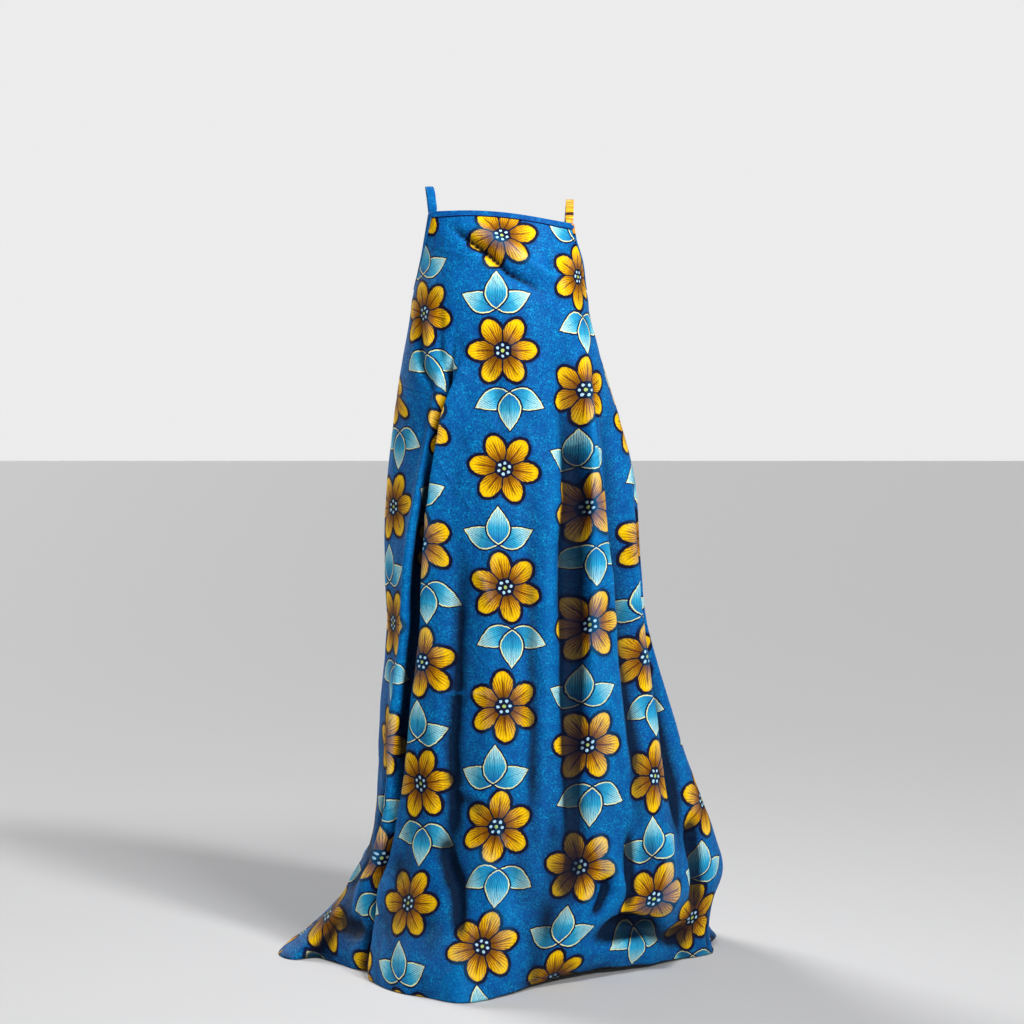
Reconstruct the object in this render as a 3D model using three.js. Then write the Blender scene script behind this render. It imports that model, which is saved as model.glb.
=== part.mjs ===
import * as THREE from "three";

// A backless maxi dress of printed cotton, worn, as a hollow wall of cloth round an empty body space.
// Millimetres, +Z up, the front faces -Y. The origin is midway between the tops of the two straps.
// A place on the cloth is named by how far around it lies, in degrees from centre front towards the
// right side seam at 90 and centre back at 180, and by its drop below the origin.

// Driving sizes
const CLOTH = 1.5;
const SEAM = 0.3;
const BINDING = 1;
const BINDING_WIDTH = 11;
const STRAP_WIDTH = 15;
const STRAP_TUCK = 18;
const STRAP_EASE = 1.2;
const UNDERARM = 181;
const SCOOP = 214;
const SCOOP_CURVE = 2.3;
const HEM_ZONE = 1230;
const HEM = 1416;

// The cut's level sections. left, right, front, back: the ring's reach. apex: where the front stands
// furthest out. side: how far back the side edges lie. bow: above 1 the front is pointed, below 1 it is
// flat. span: how much of the half ring the front covers, less than 90 above the underarms.
const SECTIONS = [
  { drop: 42, left: -137, right: 129, apex: -2, front: -80, back: 90, side: -50, bow: 0.9, span: 55 },
  { drop: 88, left: -146, right: 136, apex: -2, front: -103, back: 94, side: -37, bow: 0.9, span: 62 },
  { drop: 131, left: -154, right: 149, apex: 0, front: -119, back: 98, side: -21, bow: 0.9, span: 73 },
  { drop: 181, left: -165, right: 155, apex: 0, front: -130, back: 102, side: -2, bow: 0.9, span: 90 },
  { drop: 245, left: -176, right: 165, apex: 0, front: -136, back: 107, side: 0, bow: 0.9, span: 90 },
  { drop: 357, left: -195, right: 198, apex: 0, front: -143, back: 113, side: 0, bow: 0.95, span: 90 },
  { drop: 537, left: -217, right: 251, apex: 3, front: -160, back: 136, side: 0, bow: 1, span: 90 },
  { drop: 686, left: -223, right: 266, apex: 5, front: -180, back: 163, side: 0, bow: 1, span: 90 },
  { drop: 798, left: -218, right: 277, apex: 5, front: -198, back: 188, side: 0, bow: 1.05, span: 90 },
  { drop: 948, left: -230, right: 316, apex: 3, front: -227, back: 224, side: 0, bow: 1.15, span: 90 },
  { drop: 1079, left: -234, right: 355, apex: -5, front: -256, back: 260, side: 0, bow: 1.2, span: 90 },
  { drop: 1210, left: -249, right: 403, apex: -18, front: -291, back: 300, side: -2, bow: 1.3, span: 90 },
  { drop: 1266, left: -273, right: 415, apex: -26, front: -310, back: 320, side: -6, bow: 1.35, span: 90 },
  { drop: 1322, left: -278, right: 396, apex: -36, front: -333, back: 345, side: -12, bow: 1.4, span: 90 },
  { drop: 1388, left: -298, right: 374, apex: -50, front: -374, back: 388, side: -20, bow: 1.5, span: 90 },
  { drop: 1416, left: -320, right: 372, apex: -60, front: -400, back: 408, side: -28, bow: 1.6, span: 90 },
];

// Where the hem lies on the floor. lift: how far the hem stands above it.
const HEM_LINE = [
  { around: -90, x: -419, y: -32, lift: 0 },
  { around: -80, x: -388, y: -92, lift: 0 },
  { around: -70, x: -330, y: -82, lift: 2 },
  { around: -60, x: -260, y: -170, lift: 2 },
  { around: -50, x: -225, y: -270, lift: 2 },
  { around: -38, x: -187, y: -328, lift: 2 },
  { around: -24, x: -138, y: -368, lift: 0 },
  { around: -8, x: -68, y: -404, lift: 0 },
  { around: 8, x: 20, y: -346, lift: 5 },
  { around: 25, x: 132, y: -240, lift: 14 },
  { around: 41, x: 236, y: -178, lift: 11 },
  { around: 56, x: 318, y: -112, lift: 5 },
  { around: 72, x: 370, y: -64, lift: 0 },
  { around: 90, x: 397, y: -24, lift: 0 },
  { around: 110, x: 410, y: 84, lift: 0 },
  { around: 130, x: 362, y: 214, lift: 0 },
  { around: 150, x: 262, y: 322, lift: 0 },
  { around: 170, x: 118, y: 398, lift: 0 },
  { around: 190, x: -32, y: 412, lift: 0 },
  { around: 210, x: -182, y: 352, lift: 0 },
  { around: 230, x: -300, y: 250, lift: 0 },
  { around: 250, x: -384, y: 122, lift: 0 },
];

// Folds run down the cloth from one place around to another. depth: out if positive, a trough if
// negative. before, after: half-widths on the two sides. widen: how much wider it is at its low end.
// hem: the share of the depth left there.
const FOLDS = [
  { from: 300, to: 1416, top: -28, low: -54, depth: -21, before: 20, after: 11, widen: 1.2, hem: 0.4 },
  { from: 330, to: 1416, top: -40, low: -66, depth: 11, before: 26, after: 20, widen: 0.6, hem: 0.7 },
  { from: 260, to: 1416, top: 42, low: 13, depth: -13, before: 26, after: 20, widen: 0.9, hem: 0.5 },
  { from: 330, to: 1300, top: 50, low: 27, depth: 8, before: 24, after: 22, widen: 0.9, hem: 0.2 },
  { from: 500, to: 1416, top: 66, low: 62, depth: -11, before: 34, after: 30, widen: 0.7, hem: 0.7 },
  { from: 640, to: 1416, top: -6, low: -18, depth: -7, before: 44, after: 40, widen: 0.5, hem: 0.8 },
  { from: 720, to: 1416, top: 8, low: -1, depth: 7, before: 40, after: 44, widen: 0.4, hem: 0.6 },
  { from: 380, to: 1416, top: 104, low: 102, depth: -18, before: 36, after: 30, widen: 0.8, hem: 1 },
  { from: 520, to: 1416, top: 122, low: 121, depth: 15, before: 34, after: 38, widen: 0.7, hem: 1 },
  { from: 440, to: 1416, top: 142, low: 139, depth: -24, before: 34, after: 32, widen: 0.8, hem: 0.9 },
  { from: 470, to: 1416, top: 160, low: 158, depth: 16, before: 34, after: 34, widen: 0.6, hem: 1 },
  { from: 420, to: 1416, top: 176, low: 177, depth: -22, before: 30, after: 34, widen: 0.9, hem: 1 },
  { from: 540, to: 1416, top: 194, low: 195, depth: 18, before: 36, after: 30, widen: 0.6, hem: 0.9 },
  { from: 430, to: 1416, top: 212, low: 214, depth: -25, before: 32, after: 36, widen: 0.8, hem: 1 },
  { from: 560, to: 1416, top: 232, low: 233, depth: 14, before: 36, after: 34, widen: 0.6, hem: 1 },
  { from: 400, to: 1416, top: 253, low: 252, depth: -17, before: 32, after: 34, widen: 0.7, hem: 0.9 },
];

// Where spare length buckles above the floor. wide, tall: half its reach along and down the cloth.
const BUCKLES = [
  { around: 36, drop: 1338, depth: -26, wide: 62, tall: 26 },
  { around: 58, drop: 1366, depth: -18, wide: 60, tall: 20 },
  { around: 48, drop: 1290, depth: 12, wide: 58, tall: 26 },
  { around: -62, drop: 1352, depth: -14, wide: 44, tall: 24 },
  { around: 134, drop: 1362, depth: -20, wide: 90, tall: 24 },
  { around: 204, drop: 1356, depth: -22, wide: 100, tall: 26 },
];

// Each strap runs over its shoulder: y back from the origin, rise from the shoulder's top.
const SHOULDER_LINE = [
  { y: -40, rise: -36 },
  { y: -20, rise: -11 },
  { y: 4, rise: 0 },
  { y: 30, rise: -12 },
  { y: 56, rise: -46 },
  { y: 78, rise: -104 },
  { y: 92, rise: -190 },
  { y: 99, rise: -280 },
];
const STRAPS = {
  left: { edge: -90, top: { x: -138, z: 12 }, back: 212 },
  right: { edge: 90, top: { x: 125, z: -12 }, back: 148 },
};

// Grid of the cloth wall
const CHEST_ROWS = 4;
const SKIRT_ROWS = 24;
const HEM_ROWS = [0.16, 0.32, 0.46, 0.59, 0.7, 0.8, 0.9, 1];
const HARD_FOLD = FOLDS[0];
const HARD_FOLD_COLUMNS = [-30, -16, -7, 0, 7, 15];
const LEFT_COLUMNS = 7;
const RIGHT_COLUMNS = 24;
const BACK_COLUMNS = 34;

const { clamp, lerp, degToRad, smoothstep } = THREE.MathUtils;

// A smooth curve through a table's rows, read at any place between them.
function between(rows, key, at) {
  let k = 0;
  while (k < rows.length - 2 && rows[k + 1][key] < at) k += 1;
  const start = rows[k];
  const end = rows[k + 1];
  const before = rows[Math.max(k - 1, 0)];
  const after = rows[Math.min(k + 2, rows.length - 1)];
  const step = end[key] - start[key];
  const t = clamp((at - start[key]) / step, 0, 1);
  const values = {};
  for (const name of Object.keys(start)) {
    const slopeStart = ((end[name] - before[name]) / (end[key] - before[key])) * step;
    const slopeEnd = ((after[name] - start[name]) / (after[key] - start[key])) * step;
    values[name] =
      (2 * t ** 3 - 3 * t ** 2 + 1) * start[name] +
      (t ** 3 - 2 * t ** 2 + t) * slopeStart +
      (3 * t ** 2 - 2 * t ** 3) * end[name] +
      (t ** 3 - t ** 2) * slopeEnd;
  }
  return values;
}

function sectionAt(drop) {
  const row = between(SECTIONS, "drop", drop);
  row.span = Math.min(row.span, 90);
  return row;
}

const turned = (row, degrees) => ({ ...row, around: row.around + degrees });
const CLOSED_HEM_LINE = [
  turned(HEM_LINE.at(-1), -360),
  ...HEM_LINE,
  turned(HEM_LINE[0], 360),
  turned(HEM_LINE[1], 360),
];

// The smallest turn from one place around to another.
function turnBetween(from, to) {
  return THREE.MathUtils.euclideanModulo(to - from + 180, 360) - 180;
}

// A level ring of the dress without its folds, with its outward direction and its millimetres a degree.
function ring(around, drop) {
  const row = sectionAt(drop);
  const facing = turnBetween(0, around);
  const inFront = Math.abs(facing) <= 90;
  const span = inFront ? degToRad(row.span) : Math.PI / 2;
  const turn = (facing / 90) * span;
  const across = Math.sin(turn) / Math.sin(span);
  const ahead = (Math.abs(Math.cos(turn)) - Math.cos(span)) / (1 - Math.cos(span));
  const reach = facing > 0 ? row.right - row.apex : row.apex - row.left;
  const depth = (inFront ? row.front : row.back) - row.side;
  const bow = inFront ? row.bow : 1;
  const outward = new THREE.Vector3(
    Math.sin(turn) * Math.abs(depth),
    (inFront ? -1 : 1) * Math.abs(Math.cos(turn)) * reach,
    0,
  ).normalize();
  return {
    point: new THREE.Vector3(
      row.apex + reach * across,
      row.side + depth * Math.max(ahead, 0) ** bow,
      -drop,
    ),
    outward,
    perDegree: degToRad(Math.hypot(reach * Math.cos(turn), depth * Math.sin(turn))),
  };
}

function foldDepth(around, drop, perDegree) {
  let depth = 0;
  for (const fold of FOLDS) {
    const run = (drop - fold.from) / (fold.to - fold.from);
    if (run <= 0) continue;
    const place = lerp(fold.top, fold.low, Math.min(run, 1));
    const away = turnBetween(place, around) * perDegree;
    const half = (away < 0 ? fold.before : fold.after) * (1 + fold.widen * Math.min(run, 1));
    const rise = smoothstep(run, 0, 0.3);
    const fade = lerp(1, fold.hem, smoothstep(run, 0.72, 1));
    depth += fold.depth * rise * fade * Math.exp(-((away / half) ** 2));
  }
  for (const buckle of BUCKLES) {
    const away = turnBetween(buckle.around, around) * perDegree / buckle.wide;
    const down = (drop - buckle.drop) / buckle.tall;
    depth += buckle.depth * Math.exp(-(away ** 2) - down ** 2);
  }
  return depth;
}

// A point on the outer face of the cloth.
function cloth(around, drop) {
  const { point, outward, perDegree } = ring(around, drop);
  if (drop > HEM_ZONE) {
    const low = clamp((drop - HEM_ZONE) / (HEM - HEM_ZONE), 0, 1) ** 2;
    const facing = turnBetween(0, around);
    const row = between(CLOSED_HEM_LINE, "around", facing < -90 ? facing + 360 : facing);
    point.x = lerp(point.x, row.x, low);
    point.y = lerp(point.y, row.y, low);
    point.z += row.lift * low;
  }
  point.addScaledVector(outward, foldDepth(around, drop, perDegree));
  point.z = Math.max(point.z, CLOTH - HEM);
  return point;
}

function clothNormal(around, drop) {
  const turn = 0.4;
  const step = 2;
  const open = drop < UNDERARM;
  const lower = open ? Math.max(around - turn, -90) : around - turn;
  const upper = open ? Math.min(around + turn, 90) : around + turn;
  const along = cloth(upper, drop).sub(cloth(lower, drop));
  const down = cloth(around, Math.min(drop + step, HEM)).sub(cloth(around, drop - step));
  return down.cross(along).normalize();
}

// The neck edge is nearly level on the left and falls towards the right.
function neckDrop(around) {
  const across = Math.sin(degToRad(around));
  return 46 + 10.5 * across + 6.5 * across ** 2;
}

// The back edge dips from the underarms to its lowest at centre back.
function backDrop(around) {
  const across = Math.abs(around - 180) / 90;
  return UNDERARM + SCOOP * (1 - across ** SCOOP_CURVE);
}

function hemDrops() {
  return HEM_ROWS.map((share) => lerp(HEM_ZONE, HEM, share));
}

function evenly(from, to, count) {
  return Array.from({ length: count }, (_, k) => lerp(from, to, (k + 1) / count));
}

// The drops of one column of a panel, from its top edge to the hem.
function frontDrops(top) {
  const skirt = UNDERARM + BINDING_WIDTH;
  return [
    top,
    top + BINDING_WIDTH,
    ...evenly(top + BINDING_WIDTH, UNDERARM, CHEST_ROWS),
    skirt,
    ...evenly(skirt, HEM_ZONE, SKIRT_ROWS),
    ...hemDrops(),
  ];
}

function backDrops(top) {
  const skirt = top + BINDING_WIDTH;
  return [top, skirt, ...evenly(skirt, HEM_ZONE, SKIRT_ROWS), ...hemDrops()];
}

// The places around of one row, one binding's width inside each side edge and then closer at the hard fold.
function frontPlaces(drop) {
  const run = clamp((drop - HARD_FOLD.from) / (HARD_FOLD.to - HARD_FOLD.from), 0, 1);
  const fold = lerp(HARD_FOLD.top, HARD_FOLD.low, run);
  const perDegree = ring(fold, drop).perDegree;
  const inset = BINDING_WIDTH / ring(88, drop).perDegree;
  const near = HARD_FOLD_COLUMNS.map((away) => fold + away / perDegree);
  return [
    -90,
    inset - 90,
    ...evenly(inset - 90, near[0], LEFT_COLUMNS).slice(0, -1),
    ...near,
    ...evenly(near.at(-1), 90 - inset, RIGHT_COLUMNS),
    90,
  ];
}

function backPlaces() {
  return [90, ...evenly(90, 270, BACK_COLUMNS)];
}

// A grid of the panel's places: the outer point, the outward direction and the inner point of each.
function panelGrid(drops, placesAt, topOf, seamShift) {
  const columns = placesAt(UNDERARM).length;
  const rows = drops(0).length;
  const grid = [];
  for (let row = 0; row < rows; row += 1) {
    const line = [];
    for (let column = 0; column < columns; column += 1) {
      let around = placesAt(UNDERARM)[column];
      let drop = drops(topOf(around))[row];
      around = placesAt(drop)[column];
      drop = drops(topOf(around))[row];
      const normal = clothNormal(around, drop);
      const outer = cloth(around, drop);
      const atEdge = column === 0 || column === columns - 1;
      if (atEdge) outer.y += seamShift;
      const inner = outer.clone().addScaledVector(normal, -CLOTH);
      line.push({ outer, inner, normal });
    }
    grid.push(line);
  }
  return grid;
}

// A closed wall between two skins, each a grid of points with the same rows and columns. Its cells are
// parted along one diagonal, and along the other in the row that is named as crossed.
function wall(outer, inner, crossed = -1) {
  const rows = outer.length;
  const columns = outer[0].length;
  const positions = [...outer.flat(), ...inner.flat()].flatMap((p) => [p.x, p.y, p.z]);
  const out = (row, column) => row * columns + column;
  const inn = (row, column) => rows * columns + out(row, column);
  const triangles = [];
  const quad = (a, b, c, d) => triangles.push([a, b, c], [a, c, d]);
  for (let row = 0; row < rows - 1; row += 1) {
    for (let column = 0; column < columns - 1; column += 1) {
      const [r, c] = [row + 1, column + 1];
      if (row === crossed) {
        quad(out(row, c), out(row, column), out(r, column), out(r, c));
        quad(inn(r, column), inn(row, column), inn(row, c), inn(r, c));
      } else {
        quad(out(row, column), out(r, column), out(r, c), out(row, c));
        quad(inn(row, column), inn(row, c), inn(r, c), inn(r, column));
      }
    }
  }
  for (let column = 0; column < columns - 1; column += 1) {
    const c = column + 1;
    const low = rows - 1;
    quad(out(0, column), out(0, c), inn(0, c), inn(0, column));
    quad(out(low, c), out(low, column), inn(low, column), inn(low, c));
  }
  for (let row = 0; row < rows - 1; row += 1) {
    const r = row + 1;
    const far = columns - 1;
    quad(out(r, 0), out(row, 0), inn(row, 0), inn(r, 0));
    quad(out(row, far), out(r, far), inn(r, far), inn(row, far));
  }
  const geometry = new THREE.BufferGeometry();
  geometry.setAttribute("position", new THREE.Float32BufferAttribute(positions, 3));
  geometry.setIndex(facingOut(positions, triangles).flat());
  geometry.computeVertexNormals();
  return geometry;
}

// The triangles turned round if they enclose a negative volume.
function facingOut(positions, triangles) {
  const corner = (index) => new THREE.Vector3().fromArray(positions, index * 3);
  let volume = 0;
  for (const [a, b, c] of triangles) {
    volume += corner(a).dot(corner(b).cross(corner(c)));
  }
  return volume > 0 ? triangles : triangles.map(([a, b, c]) => [a, c, b]);
}

function panelWall(grid) {
  return wall(
    grid.map((line) => line.map((place) => place.outer)),
    grid.map((line) => line.map((place) => place.inner)),
  );
}

// A strip folded over a panel's edge, made from pairs of the panel's own places: one on the edge, and one
// a binding's width inside it. Its cells are parted as the panel's are, so that the two stay clear.
function binding(pairs, crossed = 0) {
  const gap = SEAM;
  const full = SEAM + BINDING;
  const beyond = ({ edge, inside }) => edge.outer.clone().sub(inside.outer).normalize();
  const at = (place, out, direction, past) =>
    place.outer.clone().addScaledVector(place.normal, out).addScaledVector(direction, past);
  const skin = (offset) => [
    pairs.map((pair) => at(pair.inside, offset, beyond(pair), 0)),
    pairs.map((pair) => at(pair.edge, offset, beyond(pair), offset)),
    pairs.map((pair) => at(pair.edge, -CLOTH - offset, beyond(pair), offset)),
    pairs.map((pair) => at(pair.inside, -CLOTH - offset, beyond(pair), 0)),
  ];
  return wall(skin(full), skin(gap), crossed);
}

// A pair of places moved along the edge towards the next pair, to leave room at a strip's end.
function movedTowards(pair, next, distance) {
  const share = distance / pair.edge.outer.distanceTo(next.edge.outer);
  const moved = (from, to) => ({
    outer: from.outer.clone().lerp(to.outer, share),
    inner: from.inner.clone().lerp(to.inner, share),
    normal: from.normal.clone().lerp(to.normal, share).normalize(),
  });
  return { edge: moved(pair.edge, next.edge), inside: moved(pair.inside, next.inside) };
}

function shortened(pairs, atStart, atEnd) {
  const last = pairs.length - 1;
  return [
    movedTowards(pairs[0], pairs[1], atStart),
    ...pairs.slice(1, last),
    movedTowards(pairs[last], pairs[last - 1], atEnd),
  ];
}

function neckBinding(front) {
  const pairs = front[0].map((edge, column) => ({ edge, inside: front[1][column] })).slice(1, -1);
  return binding(shortened(pairs, SEAM, SEAM));
}

// The armhole strips stop just short of the side seams, where the back's strip starts.
function armholeBinding(front, side) {
  const rows = CHEST_ROWS + 2;
  const pairs = front.slice(0, rows).map((line) => ({
    edge: line.at(side === "left" ? 0 : -1),
    inside: line.at(side === "left" ? 1 : -2),
  }));
  return binding(shortened(pairs, 0, 2 * (SEAM + BINDING)), side === "left" ? 0 : 2);
}

function backBinding(back) {
  const pairs = back[0].map((edge, column) => ({ edge, inside: back[1][column] }));
  return binding(shortened(pairs, SEAM, SEAM));
}

// A flat strap, tucked behind the front's corner and behind the back's edge.
function strap(side) {
  const { edge, top, back } = STRAPS[side];
  const behind = -CLOTH - BINDING - 2 * SEAM - STRAP_EASE;
  const tucked = (around, drop) => cloth(around, drop).addScaledVector(clothNormal(around, drop), behind);
  const widthAt = (around, drop) => {
    const turn = 1;
    return cloth(around + turn, drop).sub(cloth(around - turn, drop)).normalize();
  };
  const corner = neckDrop(edge);
  const inset = (STRAP_WIDTH / 2 + 1) / ring(edge, corner).perDegree;
  const place = edge - Math.sign(edge) * inset;
  const backEdge = backDrop(back);
  const frontLine = [corner + STRAP_TUCK, corner + STRAP_TUCK / 2, corner - 1];
  const backLine = [backEdge - 4, backEdge + STRAP_TUCK / 2, backEdge + STRAP_TUCK];
  const startX = tucked(place, corner).x;
  const endX = tucked(back, backEdge).x;
  const endZ = -backEdge;
  const over = SHOULDER_LINE.map(({ y, rise }) => {
    const z = top.z + rise;
    const forward = y < 4;
    const share = forward ? (4 - y) / (4 - tucked(place, corner).y) : (top.z - z) / (top.z - endZ);
    return new THREE.Vector3(lerp(top.x, forward ? startX : endX, share), y, z);
  });
  const level = new THREE.Vector3(1, 0, 0);
  const path = new THREE.CatmullRomCurve3([
    ...frontLine.map((drop) => tucked(place, drop)),
    ...over,
    ...backLine.map((drop) => tucked(back, drop)),
  ]);
  const widths = new THREE.CatmullRomCurve3([
    ...frontLine.map((drop) => widthAt(place, drop)),
    ...over.map(() => level),
    ...backLine.map((drop) => widthAt(back, drop).negate()),
  ]);
  const steps = 3 * (path.points.length - 1);
  const skin = (inward) => [-0.5, 0.5].map((share) =>
    Array.from({ length: steps + 1 }, (_, k) => {
      const along = path.getTangent(k / steps);
      const across = widths.getPoint(k / steps);
      across.addScaledVector(along, -across.dot(along)).normalize();
      const outward = across.clone().cross(along);
      return path
        .getPoint(k / steps)
        .addScaledVector(across, share * STRAP_WIDTH)
        .addScaledVector(outward, -inward);
    }),
  );
  return wall(skin(0), skin(CLOTH));
}

const printedCotton = new THREE.MeshStandardMaterial({ color: 0x0a6ec4, roughness: 0.75, metalness: 0 });
const boundEdge = new THREE.MeshStandardMaterial({ color: 0x1a5f9e, roughness: 0.8, metalness: 0 });
const ochreCotton = new THREE.MeshStandardMaterial({ color: 0xe8a400, roughness: 0.75, metalness: 0 });

function piece(name, geometry, material) {
  const mesh = new THREE.Mesh(geometry, material);
  mesh.name = name;
  return mesh;
}

const front = panelGrid(frontDrops, frontPlaces, neckDrop, -SEAM / 2);
const back = panelGrid(backDrops, backPlaces, backDrop, SEAM / 2);

const dress = new THREE.Group();
dress.add(
  piece("front_panel", panelWall(front), printedCotton),
  piece("back_panel", panelWall(back), printedCotton),
  piece("neck_binding", neckBinding(front), boundEdge),
  piece("armhole_binding_left", armholeBinding(front, "left"), boundEdge),
  piece("armhole_binding_right", armholeBinding(front, "right"), boundEdge),
  piece("back_binding", backBinding(back), boundEdge),
  piece("strap_left", strap("left"), boundEdge),
  piece("strap_right", strap("right"), ochreCotton),
);

export default dress;
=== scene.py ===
"""A backless maxi dress of wax-printed cotton, worn, as hollow cloth.

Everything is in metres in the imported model's frame: +Z up, the front faces -Y, and the origin lies
midway between the tops of the two straps. A place on the cloth is named by how far around it lies, in
degrees from centre front towards the right side seam at 90 and centre back at 180, and by its drop
below the origin.
"""
import math

import bmesh
import bpy
import numpy as np
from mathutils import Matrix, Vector, noise


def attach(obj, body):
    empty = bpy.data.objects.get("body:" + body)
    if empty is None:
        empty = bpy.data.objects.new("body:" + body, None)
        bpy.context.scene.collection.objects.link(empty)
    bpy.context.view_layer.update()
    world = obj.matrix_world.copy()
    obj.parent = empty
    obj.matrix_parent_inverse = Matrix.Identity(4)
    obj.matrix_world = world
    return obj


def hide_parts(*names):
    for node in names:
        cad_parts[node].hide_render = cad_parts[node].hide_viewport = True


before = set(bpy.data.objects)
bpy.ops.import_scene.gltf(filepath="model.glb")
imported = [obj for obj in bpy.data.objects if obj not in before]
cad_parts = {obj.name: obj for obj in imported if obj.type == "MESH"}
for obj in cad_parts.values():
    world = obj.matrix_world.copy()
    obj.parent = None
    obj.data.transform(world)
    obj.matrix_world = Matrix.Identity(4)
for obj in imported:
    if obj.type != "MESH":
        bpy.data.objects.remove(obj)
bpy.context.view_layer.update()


# Front cloth
# The front is one panel of printed cotton that hangs from a straight neck edge and trails on the floor.
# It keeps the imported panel's form, with the long hard fold lapped over and finer creases pressed in.

CLOTH = 0.0015
THIN = 0.0009
SEAM = 0.0003
MM = 0.001
UNDERARM = 0.181
HEM_ZONE = 1.230
HEM = 1.416

# The cloth's level sections: how far below the origin, the x of its left, its right and its foremost
# point, the y of its front, its back and its side seams, all in millimetres, then how pointed the front
# is, with 1 for an ellipse, and the degrees of arc from its middle to a side seam:
# drop, left, right, apex, front, back, side, bow, span
SECTIONS = np.array([
    (42, -137, 129, -2, -80, 90, -50, 0.9, 55),
    (88, -146, 136, -2, -103, 94, -37, 0.9, 62),
    (131, -154, 149, 0, -119, 98, -21, 0.9, 73),
    (181, -165, 155, 0, -130, 102, -2, 0.9, 90),
    (245, -176, 165, 0, -136, 107, 0, 0.9, 90),
    (357, -195, 198, 0, -143, 113, 0, 0.95, 90),
    (537, -217, 251, 3, -160, 136, 0, 1, 90),
    (686, -223, 266, 5, -180, 163, 0, 1, 90),
    (798, -218, 277, 5, -198, 188, 0, 1.05, 90),
    (948, -230, 316, 3, -227, 224, 0, 1.15, 90),
    (1079, -234, 355, -5, -256, 260, 0, 1.2, 90),
    (1210, -249, 403, -18, -291, 300, -2, 1.3, 90),
    (1266, -273, 415, -26, -310, 320, -6, 1.35, 90),
    (1322, -278, 396, -36, -333, 345, -12, 1.4, 90),
    (1388, -298, 374, -50, -374, 388, -20, 1.5, 90),
    (1416, -320, 372, -60, -400, 408, -28, 1.6, 90),
])
SECTIONS[:, :7] /= 1000

# Where the hem lies on the floor, in degrees and millimetres: around, x, y, lift
HEM_LINE = np.array([
    (-90, -419, -32, 0),
    (-80, -388, -92, 0),
    (-70, -330, -82, 2),
    (-60, -260, -170, 2),
    (-50, -225, -270, 2),
    (-38, -187, -328, 2),
    (-24, -138, -368, 0),
    (-8, -68, -404, 0),
    (8, 20, -346, 5),
    (25, 132, -240, 14),
    (41, 236, -178, 11),
    (56, 318, -112, 5),
    (72, 370, -64, 0),
    (90, 397, -24, 0),
    (110, 410, 84, 0),
    (130, 362, 214, 0),
    (150, 262, 322, 0),
    (170, 118, 398, 0),
    (190, -32, 412, 0),
    (210, -182, 352, 0),
    (230, -300, 250, 0),
    (250, -384, 122, 0),
], dtype=float)
HEM_LINE[:, 1:] /= 1000
turn_back = np.array([360, 0, 0, 0])
HEM_LINE = np.vstack([HEM_LINE[-1] - turn_back, HEM_LINE, HEM_LINE[0] + turn_back, HEM_LINE[1] + turn_back])

# Folds run down the cloth. A row is: the drops in millimetres where it starts and ends, how far around
# it lies there in degrees, its depth and its half-widths on its two sides in millimetres, the share by
# which it widens downwards, and the share of its depth left at the hem.
FOLDS = [
    (300, 1416, -28, -54, -21, 20, 11, 1.2, 0.4),
    (330, 1416, -40, -66, 11, 26, 20, 0.6, 0.7),
    (260, 1416, 42, 13, -13, 26, 20, 0.9, 0.5),
    (330, 1300, 50, 27, 8, 24, 22, 0.9, 0.2),
    (500, 1416, 66, 62, -11, 34, 30, 0.7, 0.7),
    (640, 1416, -6, -18, -7, 44, 40, 0.5, 0.8),
    (720, 1416, 8, -1, 7, 40, 44, 0.4, 0.6),
    (380, 1416, 104, 102, -18, 36, 30, 0.8, 1),
    (520, 1416, 122, 121, 15, 34, 38, 0.7, 1),
    (440, 1416, 142, 139, -24, 34, 32, 0.8, 0.9),
    (470, 1416, 160, 158, 16, 34, 34, 0.6, 1),
    (420, 1416, 176, 177, -22, 30, 34, 0.9, 1),
    (540, 1416, 194, 195, 18, 36, 30, 0.6, 0.9),
    (430, 1416, 212, 214, -25, 32, 36, 0.8, 1),
    (560, 1416, 232, 233, 14, 36, 34, 0.6, 1),
    (400, 1416, 253, 252, -17, 32, 34, 0.7, 0.9),
]

# Where spare length buckles above the floor, in degrees and millimetres: around, drop, depth, wide, tall
BUCKLES = [
    (36, 1338, -26, 62, 26),
    (58, 1366, -18, 60, 20),
    (48, 1290, 12, 58, 26),
    (-62, 1352, -14, 44, 24),
    (134, 1362, -20, 90, 24),
    (204, 1356, -22, 100, 26),
]
# The shares of a fold's run over which it grows to its full depth, and past which it fades to the hem
FOLD_GROWN = 0.3
FOLD_FADES = 0.72


def smooth(value, low, high):
    """0 below low, 1 above high, and an even curve between."""
    t = np.clip((value - low) / (high - low), 0, 1)
    return t * t * (3 - 2 * t)


def lerp(start, end, share):
    return start + (end - start) * share


def between(table, at):
    """A table's columns read at any place of its first one, on a smooth curve through its rows."""
    last = len(table) - 1
    k = np.clip(np.searchsorted(table[:, 0], at) - 1, 0, last - 1)
    start = table[k]
    end = table[k + 1]
    before = table[np.maximum(k - 1, 0)]
    after = table[np.minimum(k + 2, last)]
    step = end[..., :1] - start[..., :1]
    t = np.clip((np.asarray(at)[..., None] - start[..., :1]) / step, 0, 1)
    slope_start = (end - before) / (end[..., :1] - before[..., :1]) * step
    slope_end = (after - start) / (after[..., :1] - start[..., :1]) * step
    values = (
        (2 * t**3 - 3 * t**2 + 1) * start
        + (t**3 - 2 * t**2 + t) * slope_start
        + (3 * t**2 - 2 * t**3) * end
        + (t**3 - t**2) * slope_end
    )
    return np.moveaxis(values, -1, 0)


def turn_between(start, end):
    return (end - start + 180) % 360 - 180


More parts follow.
